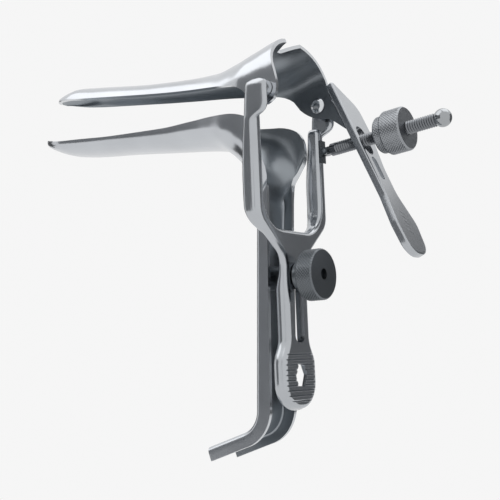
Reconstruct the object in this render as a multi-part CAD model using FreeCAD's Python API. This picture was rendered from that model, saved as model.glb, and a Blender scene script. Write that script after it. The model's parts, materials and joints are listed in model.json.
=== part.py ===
import FreeCAD, Part
import math
import os

# A two-bladed vaginal speculum with a side lever and a fork-shaped lifting yoke.
# X runs back from the blades to the user's hand, Y across, Z up, in millimetres.
# The origin is on the clamp stud's axis, just behind the rear edges of the handle channel.

Vector = FreeCAD.Vector
ORIGIN = Vector(0, 0, 0)
ACROSS = Vector(0, 1, 0)

# Sheet thicknesses
blade_sheet = 1.5
belly_share = 0.94
loft_sag = 0.3
corner_flats = 5
yoke_sheet = 1.6
lever_thickness = 3.0

# Fits
running_clearance = 0.04
sliding_gap = 0.3
blade_side_gap = 0.5

# Yoke, in its own upright frame before it leans forward about the stud axis
yoke_lean = 3.0
yoke_rear = 5.8
arm_outer = 24.0
arm_width = 4.8
arm_depth = 6.6
arm_taper = 1.8
arm_taper_start = 34.0
shoulder_depth = 3.5
stem_depth = 5.4
flange_drop = 7.7
fork_floor = 17.1
fork_corner = 11.0
shoulder_height = 20.4
shoulder_run_out = 6.7
shoulder_bottom = 9.0
shoulder_round = 8.0
stem_half_width = 7.4
slot_width = 6.4
slot_travel = 21.4
pivot_height = 66.1
pivot_back = 7.6
ear_radius = 4.1
ear_top = 2.7
ear_root_gap = 0.4
edge_chamfer = 1.0

# Thumb plate at the foot of the yoke
plate_half_width = 10.9
plate_top = 27.6
plate_bottom = 48.8
plate_hole_width = 7.8
plate_hole_height = 8.4
plate_hole_drop = 36.4
serration_count = 10
serration_pitch = 1.9
serration_depth = 0.4

# Handle channel, one piece with the lower blade
handle_half_width = 9.2
handle_depth = 5.6
channel_rear = -1.6
handle_straight = 49.3
handle_top = 18.0
handle_corner = 2.4
curl_radius = 9.0
curl_turn = 69.0
curl_run = 17.2

# Lower blade and mouth
lower_tip = 122.0
lower_tip_height = 61.3
lower_tip_length = 22.0
lower_rim = 59.6
lower_half_width = 11.8
mouth_half_width = 17.3

# Upper blade and collar
upper_tip = 114.9
upper_tip_length = 20.0
upper_half_width = 10.8
crown_rise = 21.0
near_ear_drop = 5.6
near_ear_reach = 4.5
far_ear_drop = 4.9
far_ear_reach = 4.9
notch_width = 10.0
notch_depth = 7.0
notch_floor = 2.5

# Thumb lever
lever_angle = 27.8
lever_standoff = 9.07
lever_waist = 10.4
lever_shoulder = 14.0
lever_rise = 5.0
lever_length = 71.0
pad_width = 15.6
pad_length = 14.0
lever_slot_width = 6.0
lever_slot_length = 12.6
groove_width = 3.4
groove_length = 10.0
groove_depth = 0.7

# Pivot pins
pin_radius = 1.9
pin_head_radius = 3.0
pin_head_height = 1.3
pin_shoulder_radius = 2.8

# Lever rod, its hinge and its nut
rod_radius = 2.5
rod_angle = 8.7
rod_reach = 49.0
rod_hinge_drop = 16.9
rod_side = 21.8
eye_radius = 1.5
eye_thickness = 1.8
hinge_pin_radius = 0.7
lug_thickness = 0.95
clevis_base = 0.5
clevis_height = 8.6
ball_radius = 3.4
ball_flats = 6
spigot_radius = 1.8
spigot_length = 2.6
nut_hub_radius = 7.0
nut_hub_length = 3.2
nut_wheel_radius = 8.3
nut_wheel_width = 8.3
nut_stand_off = 4.2
nut_chamfer = 0.6

# Clamp stud and clamp nut
stud_radius = 2.0
stud_guide_radius = 3.0
stud_collar_radius = 4.6
stud_tail_radius = 3.2
clamp_wheel_radius = 9.5
clamp_wheel_width = 7.0
clamp_hub_radius = 5.5
clamp_hub_length = 4.0
clamp_recess = 3.0

# The yoke's pieces lean as one about the stud axis
def lean(shape):
    leaning = shape.copy()
    leaning.rotate(ORIGIN, ACROSS, -yoke_lean)
    return leaning


def leaned_point(back, up):
    angle = math.radians(yoke_lean)
    x = back * math.cos(angle) - up * math.sin(angle)
    z = back * math.sin(angle) + up * math.cos(angle)
    return Vector(x, 0, z)


def block(x_span, y_span, z_span):
    corner = Vector(x_span[0], y_span[0], z_span[0])
    sizes = [span[1] - span[0] for span in (x_span, y_span, z_span)]
    return Part.makeBox(*sizes, corner)


def cylinder(radius, start, end):
    axis = end - start
    return Part.makeCylinder(radius, axis.Length, start, axis)


def rounded_wire(corners):
    """Closed wire through (point, radius) corners, each rounded by a tangent arc."""
    edges = []
    count = len(corners)
    cuts = []
    for index, (point, radius) in enumerate(corners):
        before = (corners[index - 1][0] - point).normalize()
        after = (corners[(index + 1) % count][0] - point).normalize()
        if radius == 0:
            cuts.append((point, None, point))
            continue
        half = before.getAngle(after) / 2
        reach = radius / math.tan(half)
        middle = (before + after).normalize()
        centre = point + middle * (radius / math.sin(half))
        cuts.append((point + before * reach, centre - middle * radius, point + after * reach))
    for index, (start, through, end) in enumerate(cuts):
        if through is not None:
            edges.append(Part.Arc(start, through, end).toShape())
        following = cuts[(index + 1) % count][0]
        if (following - end).Length > 1e-6:
            edges.append(Part.LineSegment(end, following).toShape())
    return Part.Wire(edges)


def prism(corners, direction):
    return Part.Face(rounded_wire(corners)).extrude(direction)


def side_prism(points, y_span, radius=0):
    """Solid with a side-view outline of (x, z) points, between two widths."""
    corners = []
    for point in points:
        corner_radius = point[2] if len(point) == 3 else radius
        corners.append((Vector(point[0], y_span[0], point[1]), corner_radius))
    return prism(corners, ACROSS * (y_span[1] - y_span[0]))


def spline_edge(points):
    curve = Part.BSplineCurve()
    curve.interpolate(points)
    return curve.toShape()


def rounded_corner(start, corner, end):
    """Points round a quarter of an ellipse that meets both sides of a corner smoothly."""
    points = []
    for flat in range(corner_flats + 1):
        turn = math.radians(90 * flat / corner_flats)
        toward_start = (start - corner) * (1 - math.sin(turn))
        toward_end = (end - corner) * (1 - math.cos(turn))
        points.append(corner + toward_start + toward_end)
    return points


def trough_section(belly, rim, half_width, corner_width, corner_height):
    """U-shaped section of bent sheet: sides down from the rim, rounded corners, flat belly."""
    foot = Vector(belly[0], 0, belly[1])
    rise = Vector(rim[0], 0, rim[1]) - foot
    depth = rise.Length
    rise.normalize()

    def at(y, height):
        return foot + ACROSS * y + rise * height

    def run(inset, side):
        """Points from the rim to the belly on one side, drawn in by an inset."""
        edge = side * (half_width - inset)
        turn = side * (half_width - corner_width)
        rounded = rounded_corner(at(edge, corner_height), at(edge, inset), at(turn, inset))
        return [at(edge, depth)] + rounded

    outside = run(0, 1) + run(0, -1)[::-1]
    inside = run(blade_sheet, -1) + run(blade_sheet, 1)[::-1]
    return Part.makePolygon(outside + inside + outside[:1])


def flat(station):
    belly, rim, *sizes = station
    return [*belly, *rim, *sizes]


def station_gap(one, other):
    middles = [((row[0] + row[2]) / 2, (row[1] + row[3]) / 2) for row in (one, other)]
    return math.dist(*middles)


def steady_slope(before, here, after, gap_before, gap_after):
    """Slope at a station that never lets the curve swing past its neighbours."""
    first = (here - before) / gap_before
    second = (after - here) / gap_after
    if first * second <= 0:
        return 0.0
    return 2 * first * second / (first + second)


def parts_needed(row, following, slope, next_slope, gap):
    """Number of straight lengths that keep a curve between two stations within the sag."""
    swings = []
    for a, b, start, end in zip(row, following, slope, next_slope):
        chord = (b - a) / gap
        swings.append(max(abs(start - chord), abs(end - chord)))
    return max(1, math.ceil(math.sqrt(max(swings) * gap / 6 / loft_sag)))


def filled_in(stations):
    """Adds stations between the given ones, on smooth curves through them."""
    rows = [flat(station) for station in stations]
    gaps = [station_gap(one, other) for one, other in zip(rows, rows[1:])]
    slopes = []
    for index, row in enumerate(rows):
        if index in (0, len(rows) - 1):
            near = min(index, len(rows) - 2)
            slopes.append([(b - a) / gaps[near] for a, b in zip(rows[near], rows[near + 1])])
            continue
        slopes.append([
            steady_slope(a, b, c, gaps[index - 1], gaps[index])
            for a, b, c in zip(rows[index - 1], row, rows[index + 1])
        ])
    filled = []
    for index, gap in enumerate(gaps):
        parts = parts_needed(rows[index], rows[index + 1], slopes[index], slopes[index + 1], gap)
        for part in range(parts):
            t = part / parts
            stay, leave = (1 + 2 * t) * (1 - t) ** 2, t * (1 - t) ** 2 * gap
            reach, arrive = t * t * (3 - 2 * t), t * t * (t - 1) * gap
            values = zip(rows[index], slopes[index], rows[index + 1], slopes[index + 1])
            filled.append([stay * a + leave * u + reach * b + arrive * v for a, u, b, v in values])
    filled.append(rows[-1])
    return [((row[0], row[1]), (row[2], row[3]), *row[4:]) for row in filled]


def trough(stations):
    sections = [trough_section(*station) for station in filled_in(stations)]
    return Part.makeLoft(sections, True, True)


# Places that several pieces share
flange_top = pivot_height - flange_drop
rod_hinge_height = pivot_height - rod_hinge_drop
ear_root = rod_hinge_height + clevis_height / 2 + ear_root_gap
pivot = leaned_point(pivot_back, pivot_height)
ear_outer = arm_outer - arm_width - blade_side_gap
ear_inner = ear_outer - blade_sheet
arm_inner = arm_outer - arm_width
stud_line = leaned_point(1, 0)
channel_front = channel_rear - handle_depth
web_rear = channel_front + blade_sheet
handle_shape = (handle_half_width, handle_corner, handle_corner)


# Lower blade, mouth and handle: one pressing that turns down behind the mouth
def tip_stations(tip, length, half_width, crown, rim, corner_height):
    """Stations that round a blade's tip in plan, while its crown and rim close in."""
    stations = []
    for degrees in (74, 58, 40, 20):
        angle = math.radians(degrees)
        x = length * (1 - math.sin(angle)) - tip
        share = math.cos(angle)
        closing = share ** 2
        belly_z = crown[1] + (crown[0] - crown[1]) * closing
        rim_z = rim[1] + (rim[0] - rim[1]) * closing
        width = half_width * share
        height = max(corner_height * closing, blade_sheet + 0.3)
        stations.append(((x, belly_z), (x, rim_z), width, width * belly_share, height))
    return stations


def handle_section(x, z, turn):
    """Section of the handle channel, its belly at a place and turned forward by an angle."""
    rise = (math.cos(turn) * handle_depth, -math.sin(turn) * handle_depth)
    return trough_section((x, z), (x + rise[0], z + rise[1]), *handle_shape)


def make_lower_blade():
    def station(belly, rim, width, height):
        return (belly, rim, width, width * belly_share, height)

    blade = tip_stations(
        lower_tip, lower_tip_length, lower_half_width,
        (54.6, lower_tip_height - 0.6), (lower_rim, lower_tip_height + 1.6), 4.4,
    ) + [
        station((-92.0, 53.9), (-92.0, lower_rim - 0.2), lower_half_width, 4.6),
        station((-75.0, 53.2), (-75.0, lower_rim - 0.7), lower_half_width, 4.9),
        station((-50.0, 51.6), (-50.0, lower_rim - 0.7), lower_half_width + 0.5, 6.0),
        station((-34.0, 50.6), (-34.0, lower_rim), 13.6, 7.6),
        station((-25.0, 49.3), (-23.0, lower_rim + 0.3), 15.6, 9.0),
        station((-19.0, 46.0), (-13.0, lower_rim), mouth_half_width, 12.0),
        station((-14.5, 41.8), (-5.0, lower_rim - 2.2), mouth_half_width, 14.0),
        station((-11.2, 37.0), (-1.2, 52.0), mouth_half_width, 13.0),
        station((-9.2, 32.8), (-0.4, 45.6), mouth_half_width - 0.8, 9.5),
        ((-8.1, 29.4), (-0.4, 40.6), handle_half_width + 3.6, 9.4, 7.0),
        ((channel_front - 0.2, 26.4), (channel_rear + 0.2, 35.6), handle_half_width + 0.4, 5.2, 4.8),
        ((channel_front, 22.4), (channel_rear, 27.6), handle_half_width, 3.2, 3.2),
        ((channel_front, handle_top), (channel_rear, handle_top), *handle_shape),
    ]
    shell = trough(blade)
    top = Part.Face(handle_section(channel_front, handle_top, 0))
    straight = top.extrude(Vector(0, 0, -handle_top - handle_straight))
    bend = Part.Face(handle_section(channel_front, -handle_straight, 0))
    curl_centre = Vector(channel_front - curl_radius, 0, -handle_straight)
    curl = bend.revolve(curl_centre, ACROSS, curl_turn)
    turn = math.radians(curl_turn)
    end_x = curl_centre.x + curl_radius * math.cos(turn)
    end_z = curl_centre.z - curl_radius * math.sin(turn)
    last = Part.Face(handle_section(end_x, end_z, turn))
    end = last.extrude(Vector(-math.sin(turn), 0, -math.cos(turn)) * curl_run)
    for length in (straight, curl, end):
        shell = shell.fuse(length)
    hole = cylinder(stud_tail_radius, stud_line * -20, stud_line * (web_rear + 2))
    return shell.cut(hole)


# Upper blade: an arched trough that widens into a collar with two ears
def make_upper_blade():
    def station(x, crown, low, width, height):
        return ((x, pivot.z + crown), (x, pivot.z + low), width, width * belly_share, height)

    stations = tip_stations(
        upper_tip, upper_tip_length, upper_half_width,
        (pivot.z + 16.4, pivot.z + 12.5), (pivot.z + 7.6, pivot.z + 10.2), 6.5,
    ) + [
        station(-89.0, 15.5, 5.6, upper_half_width, 7.4),
        station(-58.0, 13.0, 1.6, upper_half_width + 0.4, 7.8),
        station(-37.0, 12.4, -2.4, 12.0, 8.6),
        station(-26.0, 12.7, -6.4, 13.6, 9.6),
        station(-15.0, 15.1, -10.4, 16.2, 11.5),
        station(-6.0, 17.8, -12.4, ear_outer - 0.2, 13.0),
        station(3.0, crown_rise, -14.4, ear_outer, 13.8),
        station(14.0, crown_rise + 2.4, -14.4, ear_outer, 14.4),
    ]
    shell = trough(stations)
    for side in (-1, 1):
        shell = shell.cut(below_and_behind(side))
    half = notch_width / 2
    notch = [
        (Vector(crown_rear(), -half, 60), 0),
        (Vector(crown_rear() - notch_depth, -notch_floor / 2, 60), 1.0),
        (Vector(crown_rear() - notch_depth, notch_floor / 2, 60), 1.0),
        (Vector(crown_rear(), half, 60), 0),
        (Vector(crown_rear() + 20, half + 10, 60), 0),
        (Vector(crown_rear() + 20, -half - 10, 60), 0),
    ]
    shell = shell.cut(prism(notch, Vector(0, 0, 60)))
    shell = shell.fuse(far_web()).cut(lever_blank())
    bore = cylinder(pin_radius + running_clearance, pivot - ACROSS * arm_outer, pivot + ACROSS * arm_outer)
    return shell.cut(bore)


def crown_rear():
    return pivot.x - 0.6


def lower_edge(side):
    """Side view of a blade's lower edge from the tip back to its ear, near or far."""
    if side < 0:
        along = [(-130, 12.0), (-112, 11.2), (-89, 9.6), (-50, 6.6), (-22, 4.8)]
        root = [(-13, 3.5), (-7.0, 1.2), (-3.6, -2.0)]
    else:
        along = [(-130, 12.4), (-112, 11.7), (-89, 10.3), (-50, 7.6), (-22, 6.2)]
        root = [(-13, 5.4), (-7.0, 2.8), (-3.4, -1.2)]
    return [Vector(x, 0, pivot.z + rise) for x, rise in along + root]


def below_and_behind(side):
    """What is trimmed from one side of the collar: under the edge and behind the rim."""
    low, far, top = pivot.z - 46.0, 60.0, pivot.z + crown_rise + 5.0
    edge = lower_edge(side)
    drop, reach = (near_ear_drop, near_ear_reach) if side < 0 else (far_ear_drop, far_ear_reach)
    lean_back = 0.0 if side < 0 else 1.2
    around = [
        pivot + Vector(reach * math.sin(math.radians(turn)), 0, -drop * math.cos(math.radians(turn)))
        for turn in (-30, 0, 45, 90)
    ]
    rim = [
        around[-1],
        pivot + Vector(3.3 + lean_back, 0, 6.0),
        pivot + Vector(1.2 + 0.8 * lean_back, 0, 12.6),
        pivot + Vector(0.2 + 0.4 * lean_back, 0, 17.6),
        Vector(crown_rear(), 0, pivot.z + crown_rise + 0.2),
        Vector(crown_rear() - 0.6, 0, top),
    ]
    corners = [
        rim[-1], Vector(far, 0, top), Vector(far, 0, low),
        Vector(-140, 0, low), Vector(-140, 0, pivot.z + 10.2),
    ]
    edges = [
        spline_edge(edge),
        spline_edge([edge[-1], *around]),
        spline_edge(rim),
    ]
    for start, end in zip(corners[:-1], corners[1:]):
        edges.append(Part.LineSegment(start, end).toShape())
    edges.append(Part.LineSegment(corners[-1], edge[0]).toShape())
    face = Part.Face(Part.Wire(edges))
    return face.extrude(ACROSS * (40 * side))


def far_web():
    """Flat web of the far ear that runs back to the lever's front face."""
    top = lever_point(-lever_rise + 1.0, -lever_thickness)
    low = lever_point(14.5, -lever_thickness)
    outline = [
        (pivot.x - 3.0, pivot.z - 2.6, 0),
        (pivot.x - 1.5, pivot.z - 3.6, 2.0),
        (pivot.x + 5.5, pivot.z - 5.4, 8.0),
        (low.x, low.z, 0),
        (top.x, top.z, 0),
        (pivot.x + 3.0, pivot.z + 9.0, 0),
        (pivot.x - 3.0, pivot.z + 6.0, 0),
    ]
    return side_prism(outline, (ear_inner, ear_outer))


# Thumb lever: a straight strip brazed behind the far ear, with a slot for the rod
def lever_along():
    angle = math.radians(lever_angle)
    return Vector(math.sin(angle), 0, -math.cos(angle))


def lever_normal():
    angle = math.radians(lever_angle)
    return Vector(math.cos(angle), 0, math.sin(angle))


def lever_point(along, out, y=0.0):
    """Point on the lever: distance along it from beside the pivot, and out from its rear face."""
    base = pivot + lever_normal() * lever_standoff
    return base + lever_along() * along + lever_normal() * out + ACROSS * y


def lever_slot_place():
    """Distance along the lever at which the rod crosses its rear face."""
    run = rod_crossing()
    point = rod_point(run)
    return (point - lever_point(0, 0)).dot(lever_along())


def lever_blank():
    """The lever's bar before its slot and groove are cut."""
    near = ear_inner
    pad_near = near - 1.6
    pad_far = pad_near + pad_width
    shoulder = near + lever_shoulder
    waist = near + lever_waist
    pad_start = lever_length - pad_length
    plan = [
        (-lever_rise, near, 0.8),
        (-lever_rise, near + 1.9, 0.6),
        (4.5, shoulder - 0.4, 8.0),
        (16.0, shoulder, 22.0),
        (33.0, waist, 22.0),
        (44.0, waist - 0.2, 14.0),
        (pad_start, pad_far + 0.9, 8.0),
        (lever_length - 0.6, pad_far - 1.6, 6.4),
        (lever_length - 0.6, pad_near + 0.4, 6.4),
        (pad_start, pad_near - 0.4, 10.0),
        (45.0, near, 12.0),
    ]
    outline = [(lever_point(along, -lever_thickness, y), radius) for along, y, radius in plan]
    return prism(outline, lever_normal() * lever_thickness)


def make_thumb_lever():
    strip = lever_blank()
    strip = strip.cut(oval(lever_slot_place(), rod_side, lever_slot_length, lever_slot_width, -10, 20))
    groove_top = lever_slot_place() + lever_slot_length / 2 + 1.0
    middle = groove_top + groove_length / 2
    strip = strip.cut(oval(middle, rod_side, groove_length, groove_width, -groove_depth, 10))
    return strip


def oval(along, y, length, width, out_from, depth):
    half = (length - width) / 2
    radius = width / 2 - 0.001
    corners = []
    for end, side in ((-1, -1), (1, -1), (1, 1), (-1, 1)):
        point = lever_point(along + end * (half + width / 2), out_from, y + side * width / 2)
        corners.append((point, radius))
    return prism(corners, lever_normal() * depth)


# Yoke: a pressed fork whose flanges turn forward, with a slotted stem and a thumb plate
def yoke_point(y, z, x=None):
    return Vector(yoke_rear if x is None else x, y, z)


def yoke_outline(inset):
    """Corners of the yoke seen from behind, drawn in by an inset from every edge."""
    slope = inset * math.tan(math.radians(24))
    outer = arm_outer - inset
    inner = arm_outer - arm_width + inset
    right = [
        (0, fork_floor - inset, 0),
        (inner, fork_floor - inset, fork_corner + inset),
        (inner, flange_top + inset, 0),
        (outer, flange_top + inset, 0),
        (outer, shoulder_height + slope, shoulder_round - inset),
        (stem_half_width - inset, shoulder_run_out + slope, shoulder_round + inset),
        (stem_half_width - inset, -plate_top + 3.4, 10.0),
        (plate_half_width - inset, -plate_top - 3.0, 8.0),
        (plate_half_width - inset, -plate_bottom + inset, plate_half_width - inset - 1.0),
    ]
    corners = [(yoke_point(y, z), radius) for y, z, radius in right]
    left = [(yoke_point(-y, z), radius) for y, z, radius in right[::-1] if y != 0]
    return corners + left


def make_yoke_frame():
    forward = Vector(-arm_depth, 0, 0)
    body = prism(yoke_outline(0), forward)
    rear_edges = [
        edge for edge in body.Edges
        if abs(edge.BoundBox.XMin - yoke_rear) < 1e-4 and edge.BoundBox.ZMax < flange_top - 0.01
    ]
    body = body.makeChamfer(edge_chamfer, rear_edges)
    pocket = prism(yoke_outline(yoke_sheet), forward)
    pocket.translate(Vector(-yoke_sheet, 0, 0))
    body = body.cut(pocket)
    front = yoke_rear - arm_depth
    shoulder_front = yoke_rear - shoulder_depth
    stem_front = yoke_rear - stem_depth
    shoulder_relief = [
        (front - 1, fork_floor + 16.0),
        (front, fork_floor + 16.0),
        (shoulder_front, fork_floor + 4.0),
        (shoulder_front, shoulder_bottom),
        (front - 1, shoulder_bottom),
    ]
    stem_relief = [
        (front - 1, shoulder_bottom),
        (shoulder_front, shoulder_bottom),
        (shoulder_front, 3.0),
        (stem_front, -5.0),
        (stem_front, -70.0),
        (front - 1, -70.0),
    ]
    taper_end = flange_top + 1.0
    taper = [
        (front - 1, arm_taper_start),
        (front, arm_taper_start),
        (front + arm_taper, taper_end),
        (front - 1, taper_end),
    ]
    body = body.cut(side_prism(taper, (-40, 40)))
    inner_reach = arm_inner + yoke_sheet
    body = body.cut(side_prism(shoulder_relief, (-inner_reach, inner_reach)))
    body = body.cut(side_prism(stem_relief, (-40, 40)))
    for side in (-1, 1):
        body = body.fuse(ear(side))
    slot = [
        (yoke_point(-slot_width / 2, slot_width / 2, -20), slot_width / 2 - 0.001),
        (yoke_point(slot_width / 2, slot_width / 2, -20), slot_width / 2 - 0.001),
        (yoke_point(slot_width / 2, -slot_travel - slot_width / 2, -20), slot_width / 2 - 0.001),
        (yoke_point(-slot_width / 2, -slot_travel - slot_width / 2, -20), slot_width / 2 - 0.001),
    ]
    body = body.cut(prism(slot, Vector(60, 0, 0)))
    body = body.cut(plate_hole())
    serration_reach = plate_half_width - edge_chamfer
    for index in range(serration_count):
        height = -plate_top - 1.0 - index * serration_pitch
        groove = side_prism(
            [
                (yoke_rear - serration_depth, height),
                (yoke_rear + 1, height + 1.2 * (serration_depth + 1)),
                (yoke_rear + 1, height - 1.2 * (serration_depth + 1)),
            ],
            (-serration_reach, serration_reach),
        )
        body = body.cut(groove)
    return lean(body.removeSplitter())


def ear(side):
    """Outer flange of an arm, carried up as a round ear for the pivot pin."""
    span = sorted((side * arm_outer, side * (arm_outer - yoke_sheet)))
    front = yoke_rear - arm_depth
    flat = Part.Face(rounded_wire([
        (Vector(front + arm_taper, span[0], ear_root), 0),
        (Vector(yoke_rear - edge_chamfer, span[0], ear_root), 0),
        (Vector(pivot_back + ear_radius, span[0], pivot_height - 1.0), 1.0),
        (Vector(pivot_back + ear_radius, span[0], pivot_height + ear_top), 3.0),
        (Vector(pivot_back - ear_radius, span[0], pivot_height + ear_top), 3.0),
        (Vector(pivot_back - ear_radius, span[0], pivot_height - 1.0), 1.0),
    ]))
    plate = flat.extrude(ACROSS * yoke_sheet)
    bore = cylinder(
        pin_radius,
        Vector(pivot_back, side * 10, pivot_height),
        Vector(pivot_back, side * 40, pivot_height),
    )
    return plate.cut(bore)


def plate_hole():
    """Finger-plate hole with six uneven sides, narrower at its foot."""
    half, high = plate_hole_width / 2, plate_hole_height / 2
    outline = [
        (-half, -0.5),
        (-0.45 * half, high),
        (0.5 * half, 0.9 * high),
        (half, 0.2),
        (0.55 * half, -high),
        (-0.6 * half, -0.9 * high),
    ]
    corners = [(yoke_point(y, z - plate_hole_drop, -20), 0.5) for y, z in outline]
    return prism(corners, Vector(60, 0, 0))


# Pivot pins: shouldered rivets that hold the blade's ears inside the yoke's ears
def make_pivot_pin(side):
    head_top = ear_inner - sliding_gap - pin_head_height
    stations = [
        (head_top, 0.0),
        (head_top, 0.6 * pin_head_radius),
        (ear_inner - sliding_gap, pin_head_radius),
        (ear_inner - sliding_gap, pin_radius),
        (ear_outer + sliding_gap, pin_radius),
        (ear_outer + sliding_gap, pin_shoulder_radius),
        (arm_outer - yoke_sheet, pin_shoulder_radius),
        (arm_outer - yoke_sheet, pin_radius),
        (arm_outer, pin_radius),
        (arm_outer, 0.0),
    ]
    return revolved(stations, Vector(pivot.x, 0, pivot.z), ACROSS * side, Vector(1, 0, 0))


def revolved(stations, base, axis, out):
    """Turned piece from (distance along its axis, radius) corners."""
    points = [base + axis * along + out * radius for along, radius in stations]
    wire = Part.makePolygon(points + [points[0]])
    return Part.Face(wire).revolve(base, axis, 360)


# Lever rod, hinged on the far arm, with its ball stop and nut
def rod_root():
    return leaned_point(yoke_rear + clevis_base + 0.1 + eye_radius, rod_hinge_height) + ACROSS * rod_side


def rod_direction():
    angle = math.radians(rod_angle)
    return Vector(math.cos(angle), 0, math.sin(angle))


def rod_out():
    """Direction square to the rod, in its side view."""
    side = math.radians(90 + rod_angle)
    return Vector(math.cos(side), 0, math.sin(side))


def rod_point(run):
    return rod_root() + rod_direction() * run


def rod_crossing():
    """Run along the rod at which its axis meets the lever's rear face."""
    gap = (lever_point(0, 0) - rod_root()).dot(lever_normal())
    return gap / rod_direction().dot(lever_normal())


def nut_face():
    """Run along the rod of the nut's front face, just clear of the lever."""
    tilt = math.radians(lever_angle - rod_angle)
    return rod_crossing() + nut_hub_radius * math.tan(tilt) + nut_stand_off


def make_lever_rod():
    shoulder = eye_radius + 0.6
    out = rod_out()
    end = rod_reach - ball_radius + 0.8
    rod = revolved(
        [
            (shoulder, 0),
            (shoulder, rod_radius - 0.5),
            (shoulder + 0.5, rod_radius),
            (end, rod_radius),
            (end, spigot_radius),
            (end + spigot_length, spigot_radius),
            (end + spigot_length, 0),
        ],
        rod_root(), rod_direction(), out,
    )
    half = ACROSS * (eye_thickness / 2)
    tongue = prism(
        [
            (rod_point(0) - half + out * eye_radius, 0),
            (rod_point(shoulder + 0.4) - half + out * eye_radius, 0),
            (rod_point(shoulder + 0.4) - half - out * eye_radius, 0),
            (rod_point(0) - half - out * eye_radius, 0),
        ],
        half * 2,
    )
    eye = cylinder(eye_radius, rod_point(0) - half, rod_point(0) + half)
    bore = cylinder(hinge_pin_radius + running_clearance, rod_point(0) - half * 2, rod_point(0) + half * 2)
    return rod.fuse([tongue, eye]).removeSplitter().cut(bore)


def make_rod_end_ball():
    end = rod_reach - ball_radius + 0.8
    seat = math.degrees(math.acos((end - rod_reach) / ball_radius))
    round_side = []
    for flat in range(ball_flats + 1):
        angle = math.radians(seat * (1 - flat / ball_flats))
        round_side.append((rod_reach + ball_radius * math.cos(angle), ball_radius * math.sin(angle)))
    bore = [(end + spigot_length, 0), (end + spigot_length, spigot_radius), (end, spigot_radius)]
    return revolved(bore + round_side, rod_root(), rod_direction(), rod_out())


def make_rod_clevis():
    inner = eye_thickness / 2 + 0.05
    outer = inner + lug_thickness
    base = block(
        (yoke_rear, yoke_rear + clevis_base),
        (rod_side - outer, rod_side + outer),
        (rod_hinge_height - clevis_height / 2, rod_hinge_height + clevis_height / 2),
    )
    eye_x = yoke_rear + clevis_base + 0.1 + eye_radius
    lugs = []
    for start in (-outer, inner):
        lug = block(
            (yoke_rear, eye_x),
            (rod_side + start, rod_side + start + lug_thickness),
            (rod_hinge_height - eye_radius, rod_hinge_height + eye_radius),
        )
        nose = cylinder(
            eye_radius,
            Vector(eye_x, rod_side + start, rod_hinge_height),
            Vector(eye_x, rod_side + start + lug_thickness, rod_hinge_height),
        )
        lugs += [lug, nose]
    bore = cylinder(
        hinge_pin_radius,
        Vector(eye_x, rod_side - 10, rod_hinge_height),
        Vector(eye_x, rod_side + 10, rod_hinge_height),
    )
    return lean(base.fuse(lugs).removeSplitter().cut(bore))


def make_rod_hinge_pin():
    reach = eye_thickness / 2 + 0.05 + lug_thickness
    eye_x = yoke_rear + clevis_base + 0.1 + eye_radius
    return lean(cylinder(
        hinge_pin_radius,
        Vector(eye_x, rod_side - reach, rod_hinge_height),
        Vector(eye_x, rod_side + reach, rod_hinge_height),
    ))


def make_lever_nut():
    face = nut_face()
    step = face + nut_hub_length
    end = step + nut_wheel_width
    bore = rod_radius + running_clearance
    return revolved(
        [
            (face, bore),
            (face, nut_hub_radius),
            (step, nut_hub_radius),
            (step, nut_wheel_radius - nut_chamfer),
            (step + nut_chamfer, nut_wheel_radius),
            (end - nut_chamfer, nut_wheel_radius),
            (end, nut_wheel_radius - nut_chamfer),
            (end, bore),
        ],
        rod_root(), rod_direction(), rod_out(),
    )


# Clamp stud, fixed in the handle's web, and the nut that clamps the yoke's stem on it
def make_clamp_stud():
    collar_end = yoke_rear - yoke_sheet - sliding_gap
    guide_end = yoke_rear - 0.2
    thread_end = yoke_rear + sliding_gap + clamp_hub_length + clamp_wheel_width - clamp_recess
    body = lean(revolved(
        [
            (channel_front, 0),
            (channel_front, stud_collar_radius),
            (collar_end, stud_collar_radius),
            (collar_end, stud_guide_radius),
            (guide_end, stud_guide_radius),
            (guide_end, stud_radius),
            (thread_end, stud_radius),
            (thread_end, 0),
        ],
        ORIGIN, Vector(1, 0, 0), Vector(0, 0, 1),
    ))
    body = body.common(block((web_rear, 20), (-20, 20), (-20, 20)))
    tail = cylinder(stud_tail_radius, stud_line * -20, stud_line * (web_rear + 1))
    tail = tail.common(block((channel_front, web_rear + 0.5), (-20, 20), (-20, 20)))
    return body.fuse(tail).removeSplitter()


def make_clamp_nut():
    face = yoke_rear + sliding_gap
    step = face + clamp_hub_length
    end = step + clamp_wheel_width
    bore = stud_radius + running_clearance
    nut = revolved(
        [
            (face, bore),
            (face, clamp_hub_radius),
            (step, clamp_hub_radius),
            (step, clamp_wheel_radius - nut_chamfer),
            (step + nut_chamfer, clamp_wheel_radius),
            (end - nut_chamfer, clamp_wheel_radius),
            (end, clamp_wheel_radius - nut_chamfer),
            (end, bore),
        ],
        ORIGIN, Vector(1, 0, 0), Vector(0, 0, 1),
    )
    return lean(nut)


pieces = {
    "lower_blade": make_lower_blade,
    "upper_blade": make_upper_blade,
    "thumb_lever": make_thumb_lever,
    "yoke_frame": make_yoke_frame,
    "pivot_pin_near": lambda: make_pivot_pin(-1),
    "pivot_pin_far": lambda: make_pivot_pin(1),
    "rod_clevis": make_rod_clevis,
    "rod_hinge_pin": make_rod_hinge_pin,
    "lever_rod": make_lever_rod,
    "rod_end_ball": make_rod_end_ball,
    "lever_nut": make_lever_nut,
    "clamp_stud": make_clamp_stud,
    "clamp_nut": make_clamp_nut,
}

os.makedirs("parts", exist_ok=True)
for name, make in pieces.items():
    shape = make()
    print(name, shape.ShapeType, len(shape.Solids), shape.isValid(), round(shape.Volume, 1))
    shape.exportStep(f"parts/{name}.step")
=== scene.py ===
import bisect
import functools
import itertools
import json
import math

import bmesh
import bpy
from mathutils import Matrix, Vector


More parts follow.
